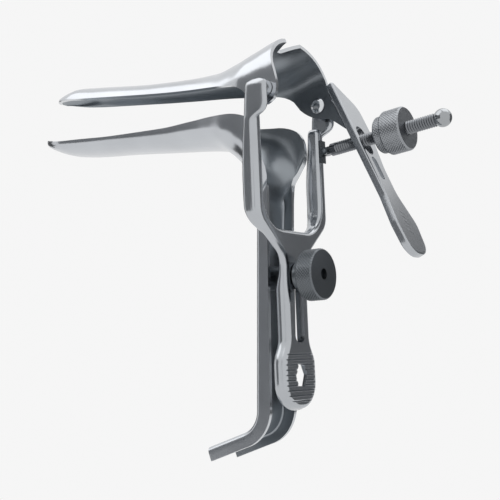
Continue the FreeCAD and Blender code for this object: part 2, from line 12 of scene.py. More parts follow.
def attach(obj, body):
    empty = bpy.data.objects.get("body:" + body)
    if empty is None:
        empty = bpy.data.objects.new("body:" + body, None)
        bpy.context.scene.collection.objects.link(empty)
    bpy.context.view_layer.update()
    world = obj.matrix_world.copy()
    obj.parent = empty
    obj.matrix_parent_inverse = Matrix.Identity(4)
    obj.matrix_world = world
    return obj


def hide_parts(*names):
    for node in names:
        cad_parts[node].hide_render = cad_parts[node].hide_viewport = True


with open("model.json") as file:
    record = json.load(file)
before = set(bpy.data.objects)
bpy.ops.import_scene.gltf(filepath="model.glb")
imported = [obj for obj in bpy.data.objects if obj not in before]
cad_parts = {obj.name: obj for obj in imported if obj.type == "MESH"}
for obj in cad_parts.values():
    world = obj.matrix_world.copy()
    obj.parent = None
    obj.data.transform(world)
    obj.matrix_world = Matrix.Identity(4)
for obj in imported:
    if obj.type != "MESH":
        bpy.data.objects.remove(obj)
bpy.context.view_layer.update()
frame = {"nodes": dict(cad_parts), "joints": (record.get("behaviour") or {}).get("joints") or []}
nodes = frame["nodes"]
joints = {joint["name"]: joint for joint in frame["joints"]}
MM = 0.001

# The lower blade, its wide mouth and the channel handle are one pressing of
# stainless sheet. It is ground and hand polished along its length, so the sheet
# keeps a soft bluish grey shine with very fine lengthwise scratches.


def linked(tree, value, socket):
    """Feeds a socket with another socket or sets it to a plain value."""
    if isinstance(value, bpy.types.NodeSocket):
        tree.links.new(value, socket)
    else:
        socket.default_value = value


def maths(tree, operation, *values):
    node = tree.nodes.new("ShaderNodeMath")
    node.operation = operation
    for value, socket in zip(values, node.inputs):
        linked(tree, value, socket)
    return node.outputs[0]


def added(tree, kind, **inputs):
    """A new node with named inputs linked or set, where an underscore is a space."""
    node = tree.nodes.new(kind)
    for name, value in inputs.items():
        linked(tree, value, node.inputs[name.replace("_", " ")])
    return node


def arrow_maths(tree, operation, *values):
    """A vector sum, product or scaling. Its last value is the scale where there is one."""
    node = tree.nodes.new("ShaderNodeVectorMath")
    node.operation = operation
    sockets = [node.inputs[0], node.inputs["Scale"] if operation == "SCALE" else node.inputs[1]]
    for value, socket in zip(values, sockets):
        linked(tree, value, socket)
    return node.outputs["Value"] if operation == "DOT_PRODUCT" else node.outputs[0]


def polish_marks_group():
    """Cloudy roughness and fine scratches left by a polishing wheel."""
    group = bpy.data.node_groups.new("polish_marks", "ShaderNodeTree")
    sizes = {
        "Scratch Length": 0.012,
        "Scratch Width": 0.00022,
        "Scratch Roughness": 0.08,
        "Cloud Size": 0.018,
        "Roughness": 0.25,
        "Roughness Spread": 0.08,
    }
    group.interface.new_socket("Along", in_out="INPUT", socket_type="NodeSocketVector")
    for name, value in sizes.items():
        socket = group.interface.new_socket(name, in_out="INPUT", socket_type="NodeSocketFloat")
        socket.default_value = value
    for name in ("Roughness", "Height", "Tone"):
        group.interface.new_socket(name, in_out="OUTPUT", socket_type="NodeSocketFloat")
    given = group.nodes.new("NodeGroupInput").outputs
    place = group.nodes.new("ShaderNodeTexCoord").outputs["Object"]
    rate_along = maths(group, "DIVIDE", 1.0, given["Scratch Length"])
    rate_across = maths(group, "DIVIDE", 1.0, given["Scratch Width"])
    stretch = arrow_maths(group, "SCALE", given["Along"], maths(group, "SUBTRACT", rate_along, rate_across))
    reach = arrow_maths(group, "DOT_PRODUCT", place, given["Along"])
    spread = arrow_maths(group, "SCALE", place, rate_across)
    drawn = arrow_maths(group, "ADD", spread, arrow_maths(group, "SCALE", stretch, reach))
    scratches = added(group, "ShaderNodeTexNoise", Vector=drawn, Scale=1.0, Detail=3.0).outputs["Fac"]
    cloud_rate = maths(group, "DIVIDE", 1.0, given["Cloud Size"])
    clouds = added(group, "ShaderNodeTexNoise", Vector=place, Scale=cloud_rate, Detail=2.0).outputs["Fac"]
    swing = maths(group, "MULTIPLY", maths(group, "SUBTRACT", clouds, 0.5), given["Roughness Spread"])
    fine = maths(group, "MULTIPLY", maths(group, "SUBTRACT", scratches, 0.5), given["Scratch Roughness"])
    rough = maths(group, "ADD", maths(group, "ADD", given["Roughness"], swing), fine)
    added(group, "NodeGroupOutput", Roughness=rough, Height=scratches, Tone=clouds)
    return group


polish_marks = polish_marks_group()
dull_share, bright_share, scratch_strength = 0.88, 1.1, 0.2


def polished_steel(name, colour, roughness, along, spread=0.08, scratch=0.00002):
    """Stainless steel with its shine, cloudy tone and scratches along one direction."""
    steel = bpy.data.materials.new(name)
    steel.use_nodes = True
    tree = steel.node_tree
    marks = tree.nodes.new("ShaderNodeGroup")
    marks.node_tree = polish_marks
    marks.inputs["Along"].default_value = along
    marks.inputs["Roughness"].default_value = roughness
    marks.inputs["Roughness Spread"].default_value = spread
    tone = tree.nodes.new("ShaderNodeMix")
    tone.data_type = "RGBA"
    dull, bright = tone.inputs[6], tone.inputs[7]
    dull.default_value = (*[dull_share * part for part in colour], 1.0)
    bright.default_value = (*[min(1.0, bright_share * part) for part in colour], 1.0)
    tree.links.new(marks.outputs["Tone"], tone.inputs["Factor"])
    bump = added(
        tree, "ShaderNodeBump", Strength=scratch_strength, Distance=scratch, Height=marks.outputs["Height"],
    )
    shader = tree.nodes["Principled BSDF"]
    shader.inputs["Metallic"].default_value = 1.0
    tree.links.new(tone.outputs[2], shader.inputs["Base Color"])
    tree.links.new(marks.outputs["Roughness"], shader.inputs["Roughness"])
    tree.links.new(bump.outputs["Normal"], shader.inputs["Normal"])
    return steel


def smooth_value(points, at):
    """Value on a smooth curve through (place, value) points that never swings past them."""
    places = [place for place, value in points]
    at = min(max(at, places[0]), places[-1])
    index = min(bisect.bisect_right(places, at), len(points) - 1) - 1
    gaps = [after - before for before, after in zip(places, places[1:])]
    rises = [(points[i + 1][1] - points[i][1]) / gaps[i] for i in range(len(gaps))]

    def slope(i):
        if i in (0, len(gaps)):
            return rises[min(i, len(gaps) - 1)]
        before, after = rises[i - 1], rises[i]
        return 2 * before * after / (before + after) if before * after > 0 else 0.0

    gap, t = gaps[index], (at - places[index]) / gaps[index]
    stay, leave = (1 + 2 * t) * (1 - t) ** 2, t * (1 - t) ** 2 * gap
    reach, arrive = t * t * (3 - 2 * t), t * t * (t - 1) * gap
    left_behind = stay * points[index][1] + leave * slope(index)
    return left_behind + reach * points[index + 1][1] + arrive * slope(index + 1)


corner_share, least_corner, row_spacing = 0.94, 1.8, 1.8


def rounded_tip(tip, length, half_width, crown, rim, corner_height):
    """Rows that round a blade's tip in plan, while its crown and rim close in."""
    rows = []
    for degrees in (77, 70, 62, 54, 45, 36, 26, 14):
        share = math.cos(math.radians(degrees))
        x = length * (1 - math.sin(math.radians(degrees))) - tip
        closing = share ** 2
        belly = crown[1] + (crown[0] - crown[1]) * closing
        edge = rim[1] + (rim[0] - rim[1]) * closing
        width = half_width * share
        height = max(corner_height * closing, least_corner)
        rows.append((x, belly, x, edge, width, width * corner_share, height))
    return rows


def run_lengths(points):
    """How far along a line each of its points is."""
    return list(itertools.accumulate(map(math.dist, points, points[1:]), initial=0.0))


def swept_rows(rows, spacing):
    """Evenly spaced rows on smooth curves through the given ones."""
    places = run_lengths([((row[0] + row[2]) / 2, (row[1] + row[3]) / 2) for row in rows])
    count = round(places[-1] / spacing)
    curves = [list(zip(places, values)) for values in zip(*rows)]
    return [[smooth_value(curve, places[-1] * step / count) for curve in curves] for step in range(count + 1)]


def trough_column(row, corner_steps=8):
    """Outside of a U-shaped section, from the far rim under the belly to the near rim."""
    belly_x, belly_z, rim_x, rim_z, half_width, corner_width, corner_height = row
    foot = Vector((belly_x, 0, belly_z))
    rise = Vector((rim_x, 0, rim_z)) - foot
    depth = rise.length
    rise.normalize()
    half = [(half_width, depth + (corner_height - depth) * step / 3) for step in range(3)]
    for step in range(corner_steps + 1):
        turn = math.pi / 2 * step / corner_steps
        half.append((
            half_width - corner_width * (1 - math.cos(turn)),
            corner_height * (1 - math.sin(turn)),
        ))
    whole = half + [(0.0, 0.0)] + [(-y, height) for y, height in half[::-1]]
    return [foot + rise * height + Vector((0, y, 0)) for y, height in whole]


def in_scene(name, data):
    """A new object in the scene round a mesh, a lamp or a camera."""
    thing = bpy.data.objects.new(name, data)
    bpy.context.scene.collection.objects.link(thing)
    return thing


def worked_out(stand):
    """The plain mesh that an object's modifiers make of it. The object itself goes."""
    bpy.context.view_layer.update()
    ready = stand.evaluated_get(bpy.context.evaluated_depsgraph_get())
    result = bpy.data.meshes.new_from_object(ready)
    bpy.data.objects.remove(stand)
    return result


def pressed_sheet(columns):
    """Closed sheet behind a grid of outside points, with rounded rims, its inner face in painted shade and
    its rims in a painted highlight.
    """
    across = len(columns[0])
    faces = []
    for column in range(len(columns) - 1):
        for row in range(across - 1):
            corner = column * across + row
            faces.append((corner, corner + across, corner + across + 1, corner + 1))
    outside = bpy.data.meshes.new("outside")
    outside.from_pydata([point * MM for column in columns for point in column], [], faces)
    for finish in sheet_steel_shade_and_highlight:
        outside.materials.append(finish)
    stand = in_scene("stand", outside)
    wall = stand.modifiers.new("wall", "SOLIDIFY")
    wall.thickness = sheet_thickness
    wall.offset = -1.0
    wall.use_even_offset = True
    # The inner face takes the darker copy of the steel, painted shade.
    wall.material_offset = 1
    # The rims take the brighter copy of the steel, a painted highlight along the rounded edges.
    wall.material_offset_rim = 2
    rim = stand.modifiers.new("rim", "BEVEL")
    rim.width = sheet_rim
    rim.segments = 3
    rim.angle_limit = math.radians(50)
    return worked_out(stand)


crease = 35


def placed(name, meshes, matrix, body, stands_for, crisp_from=None):
    """Joins meshes into one piece, stands it in the frame and lets it ride on its body.

    Edges that bend by more than crisp_from degrees stay crisp. Without it none does.
    """
    shape = bmesh.new()
    materials = []
    for mesh in meshes:
        start = len(shape.faces)
        shape.from_mesh(mesh)
        shape.faces.ensure_lookup_table()
        for face in shape.faces[start:]:
            face.material_index += len(materials)
        materials += list(mesh.materials)
    shape.transform(matrix)
    shines = []
    for vertex in shape.verts:
        shine = sum((face.normal * face.calc_area() for face in vertex.link_faces), Vector())
        shines.append(shine.normalized())
    whole = bpy.data.meshes.new(name)
    shape.to_mesh(whole)
    shape.free()
    for material in materials:
        whole.materials.append(material)
    whole.shade_smooth()
    if crisp_from is None:
        whole.normals_split_custom_set_from_vertices(shines)
    else:
        whole.set_sharp_from_angle(angle=math.radians(crisp_from))
    piece = in_scene(name, whole)
    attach(piece, body)
    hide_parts(stands_for)


def finish_node(name, material):
    """Gives a CAD solid its finish in every slot."""
    mesh = nodes[name].data
    if not mesh.materials:
        mesh.materials.append(material)
    for index in range(len(mesh.materials)):
        mesh.materials[index] = material


lengthwise = (1.0, 0.0, 0.0)
outside_sheet = polished_steel("outside_sheet", (0.56, 0.58, 0.61), 0.2, lengthwise)
# The inside is a darker copy of the same steel, painted shade; it is also rougher.
inside_sheet_painted_shade = polished_steel("inside_sheet_painted_shade", (0.3, 0.325, 0.35), 0.3, lengthwise)
# The rims are a brighter copy of the same steel, a painted highlight.
rim_sheet_painted_highlight = polished_steel("rim_sheet_painted_highlight", (0.6, 0.62, 0.645), 0.2, lengthwise, 0.04)
sheet_steel_shade_and_highlight = (outside_sheet, inside_sheet_painted_shade, rim_sheet_painted_highlight)
sheet_thickness = 1.5 * MM
sheet_rim = 0.45 * MM
channel_front, channel_rear, channel_depth = -7.2, -1.6, 5.6
handle_half_width, handle_corner = 9.2, 2.4
handle_top, handle_straight = 18.0, 49.3
curl_radius, curl_turn, curl_run = 9.0, 69, 17.2
foot_deepening = 1.3


def mouth_row(belly, rim, half_width, corner_height):
    return (*belly, *rim, half_width, half_width * corner_share, corner_height)


def channel_row(x, z, turn=0.0, deepen=0.0):
    """Row of the handle's channel, its web at a place and turned forward by an angle."""
    depth = channel_depth + deepen
    rim = (x + math.cos(turn) * depth, z - math.sin(turn) * depth)
    return (x, z, *rim, handle_half_width, handle_corner, handle_corner)


mouth_rows = rounded_tip(119.8, 20.5, 11.8, (54.6, 60.7), (59.6, 62.9), 4.4) + [
    mouth_row((-92.0, 53.9), (-92.0, 59.4), 11.8, 4.6),
    mouth_row((-75.0, 53.2), (-75.0, 58.9), 11.8, 4.9),
    mouth_row((-50.0, 51.6), (-50.0, 58.9), 12.3, 6.0),
    mouth_row((-34.0, 50.6), (-34.0, 59.6), 13.6, 7.6),
    mouth_row((-25.0, 49.3), (-23.0, 59.9), 15.6, 9.0),
    mouth_row((-19.0, 46.0), (-13.0, 59.6), 17.3, 12.0),
    mouth_row((-14.5, 41.8), (-5.0, 57.4), 17.3, 14.0),
    mouth_row((-11.2, 37.0), (-1.2, 52.0), 17.3, 13.0),
    mouth_row((-9.2, 32.8), (-0.4, 45.6), 16.5, 9.5),
    (-8.1, 29.4, -0.4, 40.6, 12.8, 9.4, 7.0),
    (-7.4, 26.4, -1.4, 35.6, 9.6, 5.2, 4.8),
    (channel_front, 22.4, channel_rear, 27.6, handle_half_width, 3.2, 3.2),
    channel_row(channel_front, handle_top),
]
handle_rows = []
straight_steps, curl_step, end_steps = 12, 3, 6
for step in range(1, straight_steps):
    share = step / straight_steps
    height = handle_top - (handle_top + handle_straight) * share
    handle_rows.append(channel_row(channel_front, height, 0.0, foot_deepening * share))
curl_centre = channel_front - curl_radius
for degrees in range(0, curl_turn + 1, curl_step):
    turn = math.radians(degrees)
    handle_rows.append(channel_row(
        curl_centre + curl_radius * math.cos(turn), -handle_straight - curl_radius * math.sin(turn),
        turn, foot_deepening * (1 - degrees / curl_turn),
    ))
last_x, last_z = handle_rows[-1][:2]
for step in range(1, end_steps + 1):
    run = curl_run * step / end_steps
    handle_rows.append(channel_row(last_x - math.sin(turn) * run, last_z - math.cos(turn) * run, turn))
blade_columns = [trough_column(row) for row in swept_rows(mouth_rows, row_spacing) + handle_rows]
blade = pressed_sheet(blade_columns)
placed("lower_blade_pressed", [blade], Matrix(), "handle", "lower_blade")

# The upper blade is pressed from the same sheet. Behind its mouth it widens into a
# collar with two ears, and the far ear runs back as a flat web to the thumb lever.
pivot = Vector(joints["blade_tilt"]["pos_m"]) / MM
collar_start = -15.0
notch_half, notch_floor, notch_depth, notch_steps = 5.0, 1.25, 7.0, 4
profile_steps, settling_steps = 24, 5


def crown_row(x, crown, low, half_width, corner_height):
    return (x, pivot.z + crown, x, pivot.z + low, half_width, half_width * corner_share, corner_height)


crown_rows = rounded_tip(
    113.3, 18.8, 10.8, (pivot.z + 16.4, pivot.z + 12.5), (pivot.z + 7.6, pivot.z + 10.2), 6.5,
) + [
    crown_row(-89.0, 15.5, 5.6, 10.8, 7.4),
    crown_row(-58.0, 13.0, 1.6, 11.2, 7.8),
    crown_row(-37.0, 12.4, -2.4, 12.0, 8.6),
    crown_row(-26.0, 12.7, -6.4, 13.6, 9.6),
    crown_row(-15.0, 15.1, -10.4, 16.2, 11.5),
    crown_row(-6.0, 17.8, -12.4, 18.5, 13.0),
    crown_row(3.0, 21.0, -14.4, 18.7, 13.8),
    crown_row(14.0, 23.4, -14.4, 18.7, 14.4),
]
crown_curves = [[(row[0], row[column]) for row in crown_rows] for column in (1, 4, 5, 6)]
# Lower edges and rear rims of the near side, then of the far side, beside the pivot
lower_edges = (
    [(-130, 12.0), (-112, 11.2), (-89, 9.6), (-50, 6.6), (-22, 4.8), (-13, 3.5)],
    [(-130, 12.4), (-112, 11.7), (-89, 10.3), (-50, 7.6), (-22, 6.2), (-13, 5.4)],
)
ear_edges = (
    [(-7.0, 1.2), (-3.6, -2.0), (1.9, -4.85), (4.1, -5.6), (7.3, -4.0)],
    [
        (-7.0, 2.8), (-3.4, -1.2), (1.7, -4.2), (4.1, -4.9), (7.6, -5.0), (9.6, -5.7), (11.6, -6.9),
        (16.26, -10.0),
    ],
)
rear_rims = (
    [(-4.0, 7.3), (-2.0, 8.3), (0.0, 8.6), (3.0, 8.2), (6.0, 7.4), (12.6, 5.3), (17.6, 4.3), (21.2, 3.5)],
    [(-10.0, 16.26), (-3.0, 12.57), (4.0, 8.88), (6.0, 8.4), (12.6, 6.3), (17.6, 4.8), (21.2, 3.5)],
)


def crown_profile(x, low):
    """Outside of half a section, from the middle of the crown down to its lower edge."""
    crown, half_width, corner_width, corner_height = [smooth_value(curve, x) for curve in crown_curves]
    points = [(0.0, crown)]
    for step in range(profile_steps + 1):
        turn = math.pi / 2 * step / profile_steps
        y = half_width - corner_width * (1 - math.sin(turn))
        z = crown - corner_height * (1 - math.cos(turn))
        if z <= low:
            before = points[-1]
            share = (before[1] - low) / (before[1] - z)
            return points + [(before[0] + (y - before[0]) * share, low)]
        points.append((y, z))
    return points + [(half_width, low)]


def spaced_points(points, shares):
    """Points at shares of a line's length, and that length."""
    lengths = run_lengths(points)
    found = []
    for share in shares:
        at = share * lengths[-1]
        index = min(bisect.bisect_right(lengths, at), len(points) - 1) - 1
        t = (at - lengths[index]) / max(lengths[index + 1] - lengths[index], 1e-9)
        found.append([a + (b - a) * t for a, b in zip(points[index], points[index + 1])])
    return found, lengths[-1]


def half_collar(side):
    """Columns of points of one side of the upper blade, from its tip to its rear rim."""
    across = 18
    far = side > 0
    edge = lower_edges[far]
    columns = []
    front = [row[0] for row in swept_rows(crown_rows[:-3], row_spacing)]
    for x in front:
        low = pivot.z + smooth_value(edge, x)
        points, length = spaced_points(crown_profile(x, low), [step / across for step in range(across + 1)])
        columns.append([Vector((x, side * y, z)) for y, z in points])
    path = [(collar_start, smooth_value(edge, collar_start)), edge[-1]] + ear_edges[far]
    path_places = run_lengths(path)
    steps = 16
    for step in range(1, steps + 1):
        share = step / steps
        at = path_places[-1] * share
        foot_x, foot_z = (smooth_value(list(zip(path_places, values)), at) for values in zip(*path))
        foot_share = (foot_x - collar_start) / (smooth_value(rear_rims[far], foot_z) - collar_start)
        column = []
        for row in range(across + 1):
            even = row / across
            x = foot_x
            for _ in range(settling_steps):
                profile = crown_profile(x, pivot.z + foot_z)
                (spot,), length = spaced_points(profile, [even])
                notched = [notch_half * place / notch_steps for place in range(notch_steps + 1)]
                if row < len(notched):
                    rear_share = notched[row] / length
                else:
                    rest = (row - len(notched) + 1) / (across - len(notched) + 1)
                    rear_share = (notch_half + (length - notch_half) * rest) / length
                blend = share * share * (3 - 2 * share)
                (spot,), length = spaced_points(profile, [even + (rear_share - even) * blend])
                rim = smooth_value(rear_rims[far], spot[1] - pivot.z)
                open_notch = min(max((notch_half - spot[0]) / (notch_half - notch_floor), 0.0), 1.0)
                rim -= notch_depth * open_notch
                reached = share + (foot_share - share) * even
                x = collar_start + (rim - collar_start) * reached
            column.append(Vector((x, side * spot[0], spot[1])))
        columns.append(column)
    return columns


near_half, far_half = half_collar(-1), half_collar(1)
collar_columns = [near[::-1] + far[1:] for near, far in zip(near_half, far_half)]
collar = pressed_sheet(collar_columns)
placed("upper_blade_pressed", [collar], Matrix(), "upper", "upper_blade")

# The thumb lever is a flat bar with rounded edges, brazed behind the far ear. It has
# a slot for the rod, a short groove and a round pad with pressed ridges.


def rounded_outline(corners, arc_steps=8, longest=2.5):
    """Points round a closed outline of (across, along, radius) corners, in millimetres."""
    points = []
    count = len(corners)
    for index, (across, along, radius) in enumerate(corners):
        corner = Vector((across, along))
        before = (Vector(corners[index - 1][:2]) - corner).normalized()
        after = (Vector(corners[(index + 1) % count][:2]) - corner).normalized()
        half = before.angle(after) / 2
        centre = corner + (before + after).normalized() * (radius / math.sin(half))
        start = corner + before * (radius / math.tan(half)) - centre
        end = corner + after * (radius / math.tan(half)) - centre
        sweep = start.angle_signed(end)
        for step in range(arc_steps + 1):
            turned_by = -sweep * step / arc_steps
            points.append(centre + Matrix.Rotation(turned_by, 2) @ start)
    filled = []
    for one, other in zip(points, points[1:] + points[:1]):
        pieces = max(1, math.ceil((other - one).length / longest))
        filled += [one.lerp(other, piece / pieces) for piece in range(pieces)]
    return filled


def drawn_in(points, inset):
    """The same outline moved square to itself by an inset, to the left of its run."""
    moved = []
    for index, point in enumerate(points):
        before = (point - points[index - 1]).normalized()
        after = (points[(index + 1) % len(points)] - point).normalized()
        left = Vector((-before.y - after.y, before.x + after.x))
        share = 1 + before.dot(after)
        moved.append(point + left * (inset / share))
    return moved


def ring_of(shape, points, height):
    """Vertices of one loop, at one height or at a height for each point."""
    heights = height if isinstance(height, list) else [height] * len(points)
    return [shape.verts.new((point.x, point.y, level)) for point, level in zip(points, heights)]


def skirt(shape, *rings):
    """Faces between each loop and the next."""
    for ring, following in zip(rings, rings[1:]):
        for index in range(len(ring)):
            after = (index + 1) % len(ring)
            shape.faces.new((ring[index], ring[after], following[after], following[index]))


def bored(shape, rings, outlines, heights):
    """Walls of through holes, and for both flat faces the loops that bound them."""
    faces = [[rings[0]], [rings[-1]]]
    for outline in outlines:
        walls = [ring_of(shape, outline, height) for height in heights]
        skirt(shape, *walls)
        for face, wall in zip(faces, walls):
            face.append(wall)
    return faces


def filled_between(shape, rings):
    """Flat face between an outer loop and the loops of its holes."""
    edges = []
    for ring in rings:
        for one, other in zip(ring, ring[1:] + ring[:1]):
            edges.append(shape.edges.get((one, other)) or shape.edges.new((one, other)))
    bmesh.ops.triangle_fill(shape, edges=edges, use_beauty=True)


def mesh_of(shape, material):
    """The mesh of a shape, all faces outwards, in one material."""
    bmesh.ops.recalc_face_normals(shape, faces=shape.faces)
    mesh = bpy.data.meshes.new("made")
    shape.to_mesh(mesh)
    shape.free()
    mesh.materials.append(material)
    return mesh


def finished_shape(shape, place, material):
    """Mesh in metres from a shape in millimetres, turned to its place."""
    shape.transform(Matrix.Scale(MM, 4) @ place)
    return mesh_of(shape, material)


def edge_path(depth, edge_round, steps=4):
    """(inset, height) round an edge that ends on a flat face at a height of depth."""
    path = []
    for step in range(steps + 1):
        turn = math.pi / 2 * step / steps
        path.append((edge_round * (1 - math.cos(turn)), depth - edge_round * (1 - math.sin(turn))))
    return path


landing, barely = 0.25, 0.01


def slab(outline, holes, pockets, thickness, edge_round, place, material):
    """Flat bar with rounded edges, through holes, and (outline, depth) pockets in its top."""
    shape = bmesh.new()
    levels = [(inset, thickness - height) for inset, height in edge_path(thickness, edge_round)[::-1]]
    levels += edge_path(thickness, edge_round)
    levels = [(edge_round + landing, 0.0)] + levels + [(edge_round + landing, thickness)]
    rings = [ring_of(shape, drawn_in(outline, inset), height) for inset, height in levels]
    skirt(shape, *rings)
    floor, top = bored(shape, rings, holes, (0.0, thickness))
    for pocket, depth in pockets:
        walls = [ring_of(shape, pocket, thickness - depth), ring_of(shape, pocket, thickness)]
        skirt(shape, *walls)
        shape.faces.new(walls[0])
        top.append(walls[1])
    filled_between(shape, floor)
    filled_between(shape, top)
    return finished_shape(shape, place, material)


def oval_outline(middle, centre, length, width):
    """Round-ended slot, long along the second direction."""
    half, reach = width / 2, length / 2
    signs = ((-1, -1), (1, -1), (1, 1), (-1, 1))
    corners = [(middle + half * side, centre + reach * end, half - barely) for side, end in signs]
    return rounded_outline(corners, 8, 20.0)


def geometry_tree(name, takes_mesh=False, **sizes):
    """A geometry tree with named inputs, whole numbers or lengths, and its steel."""
    tree = bpy.data.node_groups.new(name, "GeometryNodeTree")
    if takes_mesh:
        tree.interface.new_socket("Blank", in_out="INPUT", socket_type="NodeSocketGeometry")
    for size, value in sizes.items():
        kind = "NodeSocketInt" if isinstance(value, int) else "NodeSocketFloat"
        socket = tree.interface.new_socket(size.replace("_", " "), in_out="INPUT", socket_type=kind)
        socket.default_value = value
    tree.interface.new_socket("Steel", in_out="INPUT", socket_type="NodeSocketMaterial")
    tree.interface.new_socket("Shape", in_out="OUTPUT", socket_type="NodeSocketGeometry")
    return tree, tree.nodes.new("NodeGroupInput").outputs


def delivered(tree, shape, steel):
    """Ends a geometry tree with real geometry in its steel."""
    real = added(tree, "GeometryNodeRealizeInstances", Geometry=shape)
    coat = added(tree, "GeometryNodeSetMaterial", Geometry=real.outputs[0], Material=steel)
    added(tree, "NodeGroupOutput", Shape=coat.outputs[0])
    return tree


def directed(x, y, z):
    """Matrix that turns a shape's three directions to the given ones."""
    return Matrix((x, y, z)).transposed().to_4x4()


def arrow(tree, **parts):
    return added(tree, "ShaderNodeCombineXYZ", **parts).outputs[0]


def made_by(tree, mesh=None, **sizes):
    """Runs a geometry tree with its named sizes and returns its plain mesh."""
    stand = in_scene("stand", mesh or bpy.data.meshes.new("empty"))
    step = stand.modifiers.new("made", "NODES")
    step.node_group = tree
    sockets = {item.name: item.identifier for item in tree.interface.items_tree if item.in_out == "INPUT"}
    for name, value in sizes.items():
        step[sockets[name.replace("_", " ")]] = value
    return worked_out(stand)


def ridges_tree():
    """A row of half-sunk round ridges along X, each lying aslant of Y."""
    tree, given = geometry_tree("ridges", Ridges=6, Pitch=0.0018, Length=0.01, Radius=0.0005, Slant=0.5)
    row = added(tree, "GeometryNodeMeshLine", Count=given["Ridges"], Offset=arrow(tree, X=given["Pitch"]))
    ridge = added(tree, "GeometryNodeMeshUVSphere", Segments=12, Rings=9, Radius=1.0)
    half = maths(tree, "MULTIPLY", given["Length"], 0.5)
    spread = added(
        tree, "GeometryNodeInstanceOnPoints", Points=row.outputs[0], Instance=ridge.outputs["Mesh"],
        Scale=arrow(tree, X=given["Radius"], Y=half, Z=given["Radius"]),
        Rotation=arrow(tree, Z=given["Slant"]),
    )
    return delivered(tree, spread.outputs[0], given["Steel"])


lever_turn = math.radians(27.8)
lever_down = Vector((math.sin(lever_turn), 0, -math.cos(lever_turn)))
lever_out = Vector((math.cos(lever_turn), 0, math.sin(lever_turn)))
lever_thickness, lever_round, lever_stand_off, lever_inner = 3.0, 0.6, 9.07, 17.2
lever_face = pivot + lever_out * lever_stand_off
# Corners beside the pivot: distance across the object, distance down the lever, radius
lever_corners = [
    (lever_inner, -5.0, 0.8), (19.1, -5.0, 0.6), (30.8, 4.5, 8.0), (31.2, 16.0, 22.0),
    (27.6, 33.0, 22.0), (27.4, 44.0, 14.0), (32.1, 57.0, 8.0), (29.6, 70.4, 6.4),
    (16.0, 70.4, 6.4), (15.2, 57.0, 10.0), (lever_inner, 45.0, 12.0),
]
lever_steel = polished_steel("lever_steel", (0.48, 0.5, 0.525), 0.24, lever_down, scratch=0.000004)
straight_across = Vector((0, 1, 0))
lever_place = Matrix.Translation(lever_face - lever_out * lever_thickness)
lever_place @= directed(straight_across, lever_down, lever_out)
rod_side = 21.8
slot_middle, slot_length, slot_width = 20.97, 12.6, 6.0
groove_middle, groove_length, groove_width, groove_depth = 33.27, 10.0, 3.4, 0.7
lever_bar = slab(
    rounded_outline(lever_corners),
    [oval_outline(rod_side, slot_middle, slot_length, slot_width)],
    [(oval_outline(rod_side, groove_middle, groove_length, groove_width), groove_depth)],
    lever_thickness, lever_round, lever_place, lever_steel,
)
pad_start, pad_middle, ridge_sink = 52.5, 23.4, 0.5
ridges = made_by(
    ridges_tree(),
    Ridges=5, Pitch=2.1 * MM, Length=9.0 * MM, Radius=0.6 * MM, Slant=-0.5, Steel=lever_steel,
)
ridge_start = lever_face + lever_down * pad_start + straight_across * pad_middle - lever_out * ridge_sink
ridge_turn = directed(lever_down, straight_across, lever_down.cross(straight_across))
ridges.transform(Matrix.Translation(ridge_start * MM) @ ridge_turn)
placed("thumb_lever_bar", [lever_bar, ridges], Matrix(), "upper", "thumb_lever", crease)

# The yoke is pressed from one blank: two arms and a slotted stem whose edges turn
# forward as flanges, and a thumb plate with sawn lines. A round bar runs up the
# outside of each arm and becomes its ear. All of it is polished along its height.
yoke_rear, yoke_sheet, yoke_bend, flange_round, flange_bulge = 5.8, 1.6, 2.0, 0.78, 0.5
flange_top, fork_floor, arm_inner, arm_outer, arm_corner = 58.4, 17.1, 19.2, 24.0, 2.36
arm_depth, arm_taper, shoulder_depth, stem_depth, stem_taper = 6.6, 1.8, 3.0, 5.4, 1.9
bulge_from, bulge_full, bulge_fade, bulge_end, inner_round, bend_steps = 2.8, 5.4, 46.0, 58.0, 0.45, 6
taper_from, shoulder_low, shoulder_high, stem_low, stem_high, neck_high = 34.0, 12.0, 27.0, -5.0, 3.0, 9.0
# Corners of the right half seen from behind: across, height, radius
yoke_half = [
    (arm_inner, fork_floor, 11.0), (arm_inner, flange_top, arm_corner), (arm_outer, flange_top, arm_corner),
    (arm_outer, 20.4, 8.0), (7.4, 6.7, 8.0), (7.4, -24.2, 10.0), (10.9, -30.6, 8.0), (10.9, -48.8, 9.9),
]
yoke_outline = rounded_outline(
    yoke_half[::-1] + [(-across, height, radius) for across, height, radius in yoke_half],
)


def eased(value, low, high):
    share = min(max((value - low) / (high - low), 0.0), 1.0)
    return share * share * (3 - 2 * share)


def flange_depth(height):
    """How far the flange reaches forward at a height."""
    arm = arm_depth - arm_taper * eased(height, taper_from, flange_top)
    shoulder = shoulder_depth + (arm - shoulder_depth) * eased(height, shoulder_low, shoulder_high)
    stem = stem_depth - stem_taper * eased(height, stem_low, stem_high)
    return stem + (shoulder - stem) * eased(height, stem_high, neck_high)


stem_slot = oval_outline(0.0, -10.7, 27.8, 6.4)
hook_hole = rounded_outline([
    (-3.9, -36.9, 0.5), (-1.75, -32.2, 0.5), (1.95, -32.6, 0.5),
    (3.9, -36.2, 0.5), (2.15, -40.6, 0.5), (-2.35, -40.2, 0.5),
], 4, 20.0)


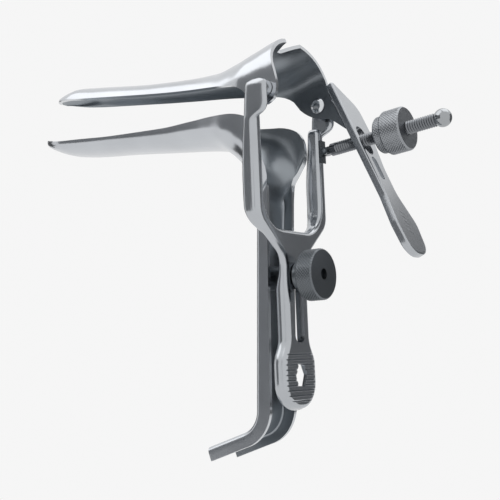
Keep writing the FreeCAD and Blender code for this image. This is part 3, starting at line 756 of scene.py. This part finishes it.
def bent_yoke(material):
    """Rear face, bend, flange, its rounded front edge, inner wall and inner face."""
    shape = bmesh.new()
    depths = [flange_depth(point.y) for point in yoke_outline]
    fronts = [yoke_rear - depth for depth in depths]
    bend_front, inner = yoke_rear - yoke_bend, yoke_rear - yoke_sheet
    path = [(yoke_bend + 0.3, yoke_rear)]
    for step in range(bend_steps + 1):
        turn = math.pi / 2 * step / bend_steps
        path.append((yoke_bend * (1 - math.sin(turn)), yoke_rear - yoke_bend * (1 - math.cos(turn))))
    rings = [ring_of(shape, drawn_in(yoke_outline, inset), height) for inset, height in path]
    for share in (0.25, 0.5, 0.75):
        pushed = drawn_in(yoke_outline, -flange_bulge * math.sin(math.pi * share))
        points, levels = [], []
        for point, out, depth, front in zip(yoke_outline, pushed, depths, fronts):
            swell = min(max((depth - bulge_from) / (bulge_full - bulge_from), 0.0), 1.0)
            points.append(point.lerp(out, swell * (1 - eased(point.y, bulge_fade, bulge_end))))
            levels.append(bend_front * (1 - share) + min(front + flange_round, bend_front) * share)
        rings.append(ring_of(shape, points, levels))
    for step in range(bend_steps + 1):
        turn = math.pi * step / bend_steps
        inset = flange_round * (1 - math.cos(turn))
        levels = [min(front + flange_round * (1 - math.sin(turn)), bend_front) for front in fronts]
        rings.append(ring_of(shape, drawn_in(yoke_outline, inset), levels))
    for inset, lift in ((0.0, inner_round), (0.13, 0.13), (inner_round, 0.0)):
        levels = [max(inner - lift, front) for front in fronts]
        rings.append(ring_of(shape, drawn_in(yoke_outline, yoke_sheet + inset), levels))
    skirt(shape, *rings)
    for face in bored(shape, rings, (stem_slot, hook_hole), (yoke_rear, inner)):
        filled_between(shape, face)
    return finished_shape(shape, yoke_place, material)


yoke_lean = Matrix.Rotation(math.radians(-3.0), 4, "Y")
# From (across, height, back) to the object's own directions, leaned about the stud
yoke_place = yoke_lean @ Matrix(((0, 0, 1, 0), (1, 0, 0, 0), (0, 1, 0, 0), (0, 0, 0, 1)))
yoke_steel = polished_steel("yoke_steel", (0.49, 0.51, 0.535), 0.2, (-0.052, 0.0, 0.999))


def saw_tree():
    """A row of square bars down the height, each lying across with one edge forward."""
    tree, given = geometry_tree("saw_lines", Cuts=10, Pitch=0.0019, Length=0.02, Side=0.0008)
    step = arrow(tree, Z=maths(tree, "MULTIPLY", given["Pitch"], -1.0))
    row = added(tree, "GeometryNodeMeshLine", Count=given["Cuts"], Offset=step)
    size = arrow(tree, X=given["Side"], Y=given["Length"], Z=given["Side"])
    spread = added(
        tree, "GeometryNodeInstanceOnPoints", Points=row.outputs[0],
        Instance=added(tree, "GeometryNodeMeshCube", Size=size).outputs["Mesh"],
        Rotation=(0.0, math.pi / 4, 0.0),
    )
    return delivered(tree, spread.outputs[0], given["Steel"])


def cut_away(mesh, cutter):
    """What is left of a closed mesh when another one is cut out of it."""
    body, tool = in_scene("body", mesh), in_scene("tool", cutter)
    step = body.modifiers.new("cut", "BOOLEAN")
    step.operation = "DIFFERENCE"
    step.solver = "EXACT"
    step.object = tool
    left = worked_out(body)
    bpy.data.objects.remove(tool)
    return left


def outer_side(height):
    """Distance from the middle to the yoke's outer edge at a height."""
    reach = 0.0
    for one, other in zip(yoke_outline, yoke_outline[1:] + yoke_outline[:1]):
        low, high = sorted((one.y, other.y))
        if low <= height < high:
            reach = max(reach, one.x + (other.x - one.x) * (height - one.y) / (other.y - one.y))
    return reach


# Places along an arm's round outer bar: height, then its front, its rear, half its thickness
bar_fronts = [
    (14.5, 3.0), (16.5, 1.6), (20.0, 0.1), (25.0, -0.8), (34.0, -0.8), (58.4, 1.0), (66.6, 1.9),
    (68.2, 2.6), (68.8, 4.6),
]
bar_rears = [
    (14.5, 3.4), (17.0, 4.2), (20.0, 4.6), (54.6, 4.9), (57.6, 9.9), (60.0, 10.9), (66.6, 10.9),
    (68.2, 10.2), (68.8, 8.4),
]
bar_halves = [(14.5, 0.4), (17.0, 1.35), (66.6, 1.4), (68.2, 1.1), (68.8, 0.4)]
bar_rings, bar_sides, bar_squareness, bar_depth = 68, 28, 0.85, 0.95


def arm_bar(side, material):
    """Round bar up the outside of one arm, with a round foot, that ends as the pin's ear."""
    shape = bmesh.new()
    low, high = bar_fronts[0][0], bar_fronts[-1][0]
    rings = []
    for step in range(bar_rings + 1):
        height = low + (high - low) * step / bar_rings
        front, rear = smooth_value(bar_fronts, height), smooth_value(bar_rears, height)
        half = smooth_value(bar_halves, height)
        middle = outer_side(min(height, flange_top - 3.0)) - bar_depth
        points = []
        for corner in range(bar_sides):
            turn = math.tau * corner / bar_sides
            back, out = (
                math.copysign(abs(part) ** bar_squareness, part) for part in (math.cos(turn), math.sin(turn))
            )
            x = (front + rear) / 2 + back * (rear - front) / 2
            points.append(Vector((x, side * (middle + out * half))))
        rings.append(ring_of(shape, points, height))
    skirt(shape, *rings)
    shape.faces.new(rings[0])
    shape.faces.new(rings[-1])
    return finished_shape(shape, yoke_lean, material)


saw_depth, saw_side, saw_top = 0.42, 0.8, -28.6
saws = made_by(
    saw_tree(),
    Cuts=10, Pitch=1.9 * MM, Length=20.4 * MM, Side=saw_side * MM, Steel=yoke_steel,
)
saw_start = Vector((yoke_rear - saw_depth + saw_side / math.sqrt(2), 0, saw_top)) * MM
saws.transform(yoke_lean @ Matrix.Translation(saw_start))
yoke_parts = [cut_away(bent_yoke(yoke_steel), saws), arm_bar(-1, yoke_steel), arm_bar(1, yoke_steel)]
placed("yoke_frame_pressed", yoke_parts, Matrix(), "yoke", "yoke_frame", crease)

# The pivot pins are turned steel with polished domed heads inside the collar. Their
# outer ends are riveted in the yoke's ears and ground away to nothing.


def turned(stations, steps, material):
    """Closed turned shape about Z from (distance, radius) stations."""
    shape = bmesh.new()
    rings = []
    for distance, radius in stations:
        if radius == 0:
            rings.append([shape.verts.new((0, 0, distance))])
            continue
        ring = []
        for step in range(steps):
            angle = math.tau * step / steps
            ring.append(shape.verts.new((radius * math.cos(angle), radius * math.sin(angle), distance)))
        rings.append(ring)
    for one, other in zip(rings, rings[1:]):
        for step in range(steps):
            following = (step + 1) % steps
            if len(one) == 1:
                shape.faces.new((one[0], other[following], other[step]))
            elif len(other) == 1:
                shape.faces.new((one[step], one[following], other[0]))
            else:
                shape.faces.new((one[step], one[following], other[following], other[step]))
    bmesh.ops.remove_doubles(shape, verts=shape.verts, dist=1e-8)
    return mesh_of(shape, material)


def along_axis(base, axis):
    """Matrix that stands a piece turned about Z on a base point, along an axis."""
    turn = axis.to_track_quat("Z", "X").to_matrix().to_4x4()
    return Matrix.Translation(base) @ turn


pin_steel = polished_steel("pin_steel", (0.66, 0.68, 0.7), 0.12, (0.0, 1.0, 0.0), 0.04)
head_top, head_seat, head_radius, pin_radius = 15.6 * MM, 16.9 * MM, 3.0 * MM, 1.9 * MM
ear_side, arm_inside, arm_outside, shoulder = 19.0 * MM, 22.4 * MM, 24.0 * MM, 2.8 * MM
dome = []
dome_steps = 8
for step in range(dome_steps + 1):
    turn = math.pi / 2 * step / dome_steps
    dome.append((head_seat - (head_seat - head_top) * math.cos(turn), head_radius * math.sin(turn)))
pin_stations = dome + [
    (head_seat, pin_radius), (ear_side, pin_radius), (ear_side, shoulder), (arm_inside, shoulder),
    (arm_inside, pin_radius), (arm_outside, pin_radius), (arm_outside, 0),
]
for name, side in (("pivot_pin_near", -1), ("pivot_pin_far", 1)):
    pin = turned(pin_stations, 40, pin_steel)
    where = along_axis(Vector((pivot.x * MM, 0, pivot.z * MM)), Vector((0, side, 0)))
    placed(name + "_turned", [pin], where, "yoke", name, crease)

# The rod's small fork is brazed on the far arm, and a plain pin holds the rod in it.
fork_steel = polished_steel("rod_fork_steel", (0.22, 0.235, 0.25), 0.28, (0.0, 0.0, 1.0))
finish_node("rod_clevis", fork_steel)
finish_node("rod_hinge_pin", pin_steel)

# The rod is cut with a fine thread from its hinge eye to the polished ball that
# closes it. It is turned from bar, and its thread, shank and eye are one darker steel.
rod_axis = Vector(joints["lever_nut_travel"]["axis"])
rod_root = Vector(joints["rod_swing"]["pos_m"])
rod_radius, core_radius, eye_collar = 2.5 * MM, 2.0 * MM, 2.44 * MM
thread_pitch, thread_depth = 0.95 * MM, 0.38 * MM
thread_start, thread_end, rod_end = 4.6 * MM, 46.6 * MM, 48.0 * MM
hair = 1e-6


def thread_tree():
    """A screw thread as one winding surface, closed at both ends."""
    tree, given = geometry_tree(
        "rod_thread", Length=0.042, Radius=0.0025, Pitch=0.00095, Depth=0.0004, Turns=45, Around=28,
    )
    calc = functools.partial(maths, tree)
    grid = added(
        tree, "GeometryNodeMeshGrid", Size_X=1.0, Size_Y=1.0,
        Vertices_X=calc("MULTIPLY_ADD", given["Turns"], 4.0, 1.0),
        Vertices_Y=calc("ADD", given["Around"], 1.0),
    )
    spot = tree.nodes.new("GeometryNodeInputPosition").outputs[0]
    split = added(tree, "ShaderNodeSeparateXYZ", Vector=spot).outputs
    share, round_share = (calc("ADD", split[axis], 0.5) for axis in "XY")
    turns = calc("MULTIPLY", share, given["Turns"])
    wound = calc("ADD", calc("SUBTRACT", turns, 1.0), round_share)
    height = calc("MULTIPLY", wound, given["Pitch"])
    held = calc("MINIMUM", calc("MAXIMUM", height, 0.0), given["Length"])
    below_end = calc("LESS_THAN", height, calc("SUBTRACT", given["Length"], hair))
    inside = calc("MULTIPLY", calc("GREATER_THAN", height, hair), below_end)
    phase = calc("FRACT", calc("ADD", turns, 1e-4))
    wave = calc("ABSOLUTE", calc("MULTIPLY_ADD", phase, 2.0, -1.0))
    cut = calc("MULTIPLY", given["Depth"], wave)
    reach = calc("MULTIPLY", calc("SUBTRACT", given["Radius"], cut), inside)
    angle = calc("MULTIPLY", round_share, math.tau)
    x, y = (calc("MULTIPLY", calc(part, angle), reach) for part in ("COSINE", "SINE"))
    wrapped = added(
        tree, "GeometryNodeSetPosition",
        Geometry=grid.outputs["Mesh"], Position=arrow(tree, X=x, Y=y, Z=held),
    )
    weld = added(tree, "GeometryNodeMergeByDistance", Geometry=wrapped.outputs[0], Distance=hair)
    return delivered(tree, weld.outputs[0], given["Steel"])


thread_steel = polished_steel("rod_thread_steel", (0.2, 0.21, 0.225), 0.24, (0.0, 1.0, 0.0))
turns = round((thread_end - thread_start) / thread_pitch) + 1
thread = made_by(
    thread_tree(),
    Length=(turns - 1) * thread_pitch, Radius=rod_radius, Pitch=thread_pitch,
    Depth=thread_depth, Turns=turns, Around=28, Steel=thread_steel,
)
thread.transform(Matrix.Translation((0, 0, thread_start)))
shank = turned([
    (2.1 * MM, 0), (2.1 * MM, core_radius), (2.5 * MM, eye_collar), (thread_start + 0.3 * MM, eye_collar),
    (thread_start + 0.7 * MM, core_radius), (rod_end, core_radius), (rod_end, 0),
], 40, thread_steel)


def round_points(radius, start, sweep, steps):
    """Points round an arc about the middle, from one angle on."""
    turns = [start + sweep * step / steps for step in range(steps + 1)]
    return [Vector((radius * math.cos(turn), radius * math.sin(turn))) for turn in turns]


def rod_eye():
    """Flat tongue with a round end and a hole for the hinge pin."""
    outer, hole, half, root = 1.5, 0.74, 0.9, 2.5
    shape = bmesh.new()
    round_end = round_points(outer, math.pi / 2, math.pi, 14)
    outline = [Vector((root, outer))] + round_end + [Vector((root, -outer))]
    rings = [ring_of(shape, outline, height) for height in (-half, half)]
    skirt(shape, *rings)
    for face in bored(shape, rings, [round_points(hole, 0.0, math.tau, 24)[:-1]], (-half, half)):
        filled_between(shape, face)
    # The outline runs along the rod and across it, and its height is the eye's thickness
    return finished_shape(shape, Matrix(((0, 1, 0), (0, 0, 1), (1, 0, 0))).to_4x4(), thread_steel)


def rod_frame():
    """Matrix from the rod's own frame, Z along it and Y across, to the object's frame."""
    turn = directed(straight_across.cross(rod_axis), straight_across, rod_axis)
    return Matrix.Translation(rod_root) @ turn


rod_parts = [thread, shank, rod_eye()]
placed("lever_rod_threaded", rod_parts, rod_frame(), "rod", "lever_rod", crease)

# The ball that closes the rod is turned and polished bright, with a flat where the
# rod's end enters it.
ball_steel = polished_steel("rod_ball_steel", (0.38, 0.395, 0.41), 0.1, (0.0, 1.0, 0.0), 0.04)
ball_centre, ball_radius, ball_flat, spigot_radius = 49.0 * MM, 3.4 * MM, 2.6 * MM, 1.8 * MM
ball_steps = 20
seat = math.acos(-ball_flat / ball_radius)
ball_stations = [(ball_centre, 0), (ball_centre, spigot_radius), (ball_centre - ball_flat, spigot_radius)]
for step in range(ball_steps):
    turn = seat * (1 - step / ball_steps)
    ball_stations.append((ball_centre + ball_radius * math.cos(turn), ball_radius * math.sin(turn)))
ball_stations.append((ball_centre + ball_radius, 0))
ball = turned(ball_stations, 48, ball_steel)
placed("rod_end_ball_polished", [ball], rod_frame(), "rod", "rod_end_ball", crease)

# The lever nut is a knurled wheel with a smaller knurled hub towards the lever,
# turned from bar and left matt grey. It is screwed on the rod.


def knurl_tree():
    """Presses crossing grooves into whatever part of a turned piece has one radius."""
    tree, given = geometry_tree(
        "diamond_knurl", True, Radius=0.008, Diamonds_Around=52, Pitch=0.001, Depth=0.0003,
    )
    calc = functools.partial(maths, tree)
    spot = tree.nodes.new("GeometryNodeInputPosition").outputs[0]
    split = added(tree, "ShaderNodeSeparateXYZ", Vector=spot).outputs
    x, y, z = (split[axis] for axis in "XYZ")
    angle = calc("ARCTAN2", y, x)
    around = calc("MULTIPLY", calc("DIVIDE", angle, math.tau), given["Diamonds Around"])
    along = calc("DIVIDE", z, given["Pitch"])
    grooves = []
    for crossing in ("ADD", "SUBTRACT"):
        place = calc("FRACT", calc(crossing, around, along))
        grooves.append(calc("ABSOLUTE", calc("MULTIPLY_ADD", place, 2.0, -1.0)))
    groove = calc("MAXIMUM", *grooves)
    reach = calc("SQRT", calc("ADD", calc("POWER", x, 2.0), calc("POWER", y, 2.0)))
    on_rim = calc("COMPARE", reach, given["Radius"], 1e-5)
    press = calc("MULTIPLY", calc("MULTIPLY", groove, given["Depth"]), on_rim)
    inward = calc("DIVIDE", calc("SUBTRACT", reach, press), calc("MAXIMUM", reach, hair))
    place = arrow(tree, X=calc("MULTIPLY", x, inward), Y=calc("MULTIPLY", y, inward), Z=z)
    move = added(tree, "GeometryNodeSetPosition", Geometry=given["Blank"], Position=place)
    return delivered(tree, move.outputs[0], given["Steel"])


diamond_knurl = knurl_tree()
knurl_pitch, knurl_depth, knurl_crease = 1.1 * MM, 0.32 * MM, 25.0


def rim_stations(start, end, radius):
    """Stations a quarter of a knurl apart, so the grooves meet the mesh exactly."""
    quarter, hair_inside = knurl_pitch / 4, 1e-7
    first = math.ceil((start + hair_inside) / quarter)
    last = math.floor((end - hair_inside) / quarter)
    between = [(index * quarter, radius) for index in range(first, last + 1)]
    return [(start, radius)] + between + [(end, radius)]


chamfer = 0.6 * MM


def knurled_nut(face, hub, wheel, bore, diamonds, material, knurled_hub=False):
    """Bored nut with a hub and a wheel, each a (radius, length) pair, and a knurled rim."""
    step = face + hub[1]
    end = step + wheel[1]
    hub_rim = [(face + chamfer, hub[0]), (step, hub[0])]
    if knurled_hub:
        hub_rim = rim_stations(face + chamfer, step, hub[0])
    nut = turned(
        [(face, bore), (face, hub[0] - chamfer)] + hub_rim + [(step, wheel[0] - chamfer)]
        + rim_stations(step + chamfer, end - chamfer, wheel[0])
        + [(end, wheel[0] - chamfer), (end, bore), (face, bore)],
        diamonds * 4, material,
    )
    for radius in (hub[0], wheel[0]) if knurled_hub else (wheel[0],):
        nut = made_by(
            diamond_knurl, nut, Radius=radius, Diamonds_Around=diamonds,
            Pitch=knurl_pitch, Depth=knurl_depth, Steel=material,
        )
    return nut


nut_steel = polished_steel("lever_nut_steel", (0.34, 0.355, 0.375), 0.36, (0.0, 1.0, 0.0))
nut_face, nut_hub, nut_wheel = 23.43 * MM, (7.0 * MM, 3.2 * MM), (8.3 * MM, 8.3 * MM)
nut_bore, nut_diamonds = 2.52 * MM, 44
nut = knurled_nut(nut_face, nut_hub, nut_wheel, nut_bore, nut_diamonds, nut_steel, True)
placed("lever_nut_knurled", [nut], rod_frame(), "stop_nut", "lever_nut", knurl_crease)

# The clamp stud stands in the handle's web and runs through the stem's slot.
finish_node("clamp_stud", fork_steel)

# The clamp nut is a wide knurled wheel with a plain hub, blind but for the hole
# that the stud's end shows in. Its face is dark and smooth.
clamp_axis = Vector(joints["clamp_nut_turn"]["axis"])
clamp_steel = polished_steel("clamp_nut_steel", (0.17, 0.185, 0.2), 0.36, (0.0, 1.0, 0.0))
clamp_face, clamp_hub, clamp_wheel = 6.1 * MM, (5.5 * MM, 4.0 * MM), (9.5 * MM, 7.0 * MM)
clamp_bore, clamp_diamonds = 2.04 * MM, 50
clamp = knurled_nut(clamp_face, clamp_hub, clamp_wheel, clamp_bore, clamp_diamonds, clamp_steel)
clamp_place = along_axis(Vector((0, 0, 0)), clamp_axis)
placed("clamp_nut_knurled", [clamp], clamp_place, "clamp", "clamp_nut", knurl_crease)

# The studio: a pale floor far below, a pale sky, two soft lamps, three grey cards and
# the camera, which looks from behind on the near side and a little from below.


def plain_card(name, stand, size, colour, roughness):
    """A matt card in its own paint, stood where a matrix puts it."""
    x, y = size[0] / 2, size[1] / 2
    mesh = bpy.data.meshes.new(name)
    mesh.from_pydata([(-x, -y, 0), (x, -y, 0), (x, y, 0), (-x, y, 0)], [], [(0, 1, 2, 3)])
    mesh.transform(stand)
    paint = bpy.data.materials.new(name)
    paint.use_nodes = True
    matt = paint.node_tree.nodes["Principled BSDF"]
    matt.inputs["Base Color"].default_value = (*colour, 1.0)
    matt.inputs["Roughness"].default_value = roughness
    mesh.materials.append(paint)
    return in_scene(name, mesh), paint.node_tree


def shown_pale(tree, lit, shown, output):
    """Gives the eye and reflections one shader, while the other does the lighting."""
    path = tree.nodes.new("ShaderNodeLightPath").outputs
    bounced = maths(tree, "MAXIMUM", path["Is Glossy Ray"], path["Is Transmission Ray"])
    mixed = added(tree, "ShaderNodeMixShader", Fac=maths(tree, "MAXIMUM", path["Is Camera Ray"], bounced))
    tree.links.new(lit.outputs[0], mixed.inputs[1])
    tree.links.new(shown.outputs[0], mixed.inputs[2])
    tree.links.new(mixed.outputs[0], output.inputs["Surface"])


pale = (0.92, 0.92, 0.92, 1.0)
card, paint = plain_card("floor", Matrix.Translation((0, 0, -0.3)), (8, 8), (0.8, 0.8, 0.8), 0.9)
glow = added(paint, "ShaderNodeEmission", Color=pale)
shown_pale(paint, paint.nodes["Principled BSDF"], glow, paint.nodes["Material Output"])

world = bpy.data.worlds.new("studio")
bpy.context.scene.world = world
world.use_nodes = True
sky = world.node_tree
sky_light = sky.nodes["Background"]
sky_light.inputs["Color"].default_value = (0.75, 0.78, 0.82, 1.0)
sky_light.inputs["Strength"].default_value = 0.55
shown_pale(sky, sky_light, added(sky, "ShaderNodeBackground", Color=pale), sky.nodes["World Output"])


def soft_lamp(name, place, size, power):
    lamp = bpy.data.lights.new(name, "AREA")
    lamp.shape = "RECTANGLE"
    lamp.size, lamp.size_y = size
    lamp.energy = power
    stand = in_scene(name, lamp)
    stand.location = place
    stand.rotation_euler = (-Vector(place)).to_track_quat("-Z", "Y").to_euler()


soft_lamp("key_lamp", (-0.7, -0.5, 1.1), (1.3, 1.3), 4.2)
soft_lamp("top_lamp", (0.2, 0.4, 1.3), (1.2, 1.2), 4.0)


def shade_card(name, place, size, grey):
    """Grey card that faces the object and is seen only in its polished steel."""
    stand = Matrix.Translation(place) @ (-Vector(place)).to_track_quat("Z", "Y").to_matrix().to_4x4()
    card, paint = plain_card(name, stand, size, (grey, grey, grey), 1.0)
    card.visible_camera = False
    card.visible_diffuse = False
    card.visible_shadow = False


shade_card("user_side_card", (0.55, 0.8, 0.12), (1.0, 0.8), 0.3)
shade_card("near_side_card", (-0.55, -0.8, 0.12), (1.1, 0.7), 0.42)
shade_card("left_card", (-1.0, 0.15, 0.05), (0.5, 0.6), 0.15)

camera = bpy.data.cameras.new("camera")
camera.sensor_width = 36.0
camera.lens = 77.5
rows_raised, picture_rows, view_turn = 86, 500, math.asin(0.568)
camera.shift_y = rows_raised / picture_rows
camera.clip_start = 0.01
camera.clip_end = 20.0
camera_stand = in_scene("camera", camera)
camera_stand.location = (0.2167, -0.3365, -0.0216)
camera_stand.rotation_euler = (math.radians(90), 0, view_turn)
bpy.context.scene.camera = camera_stand
bpy.context.scene.view_settings.view_transform = "Standard"
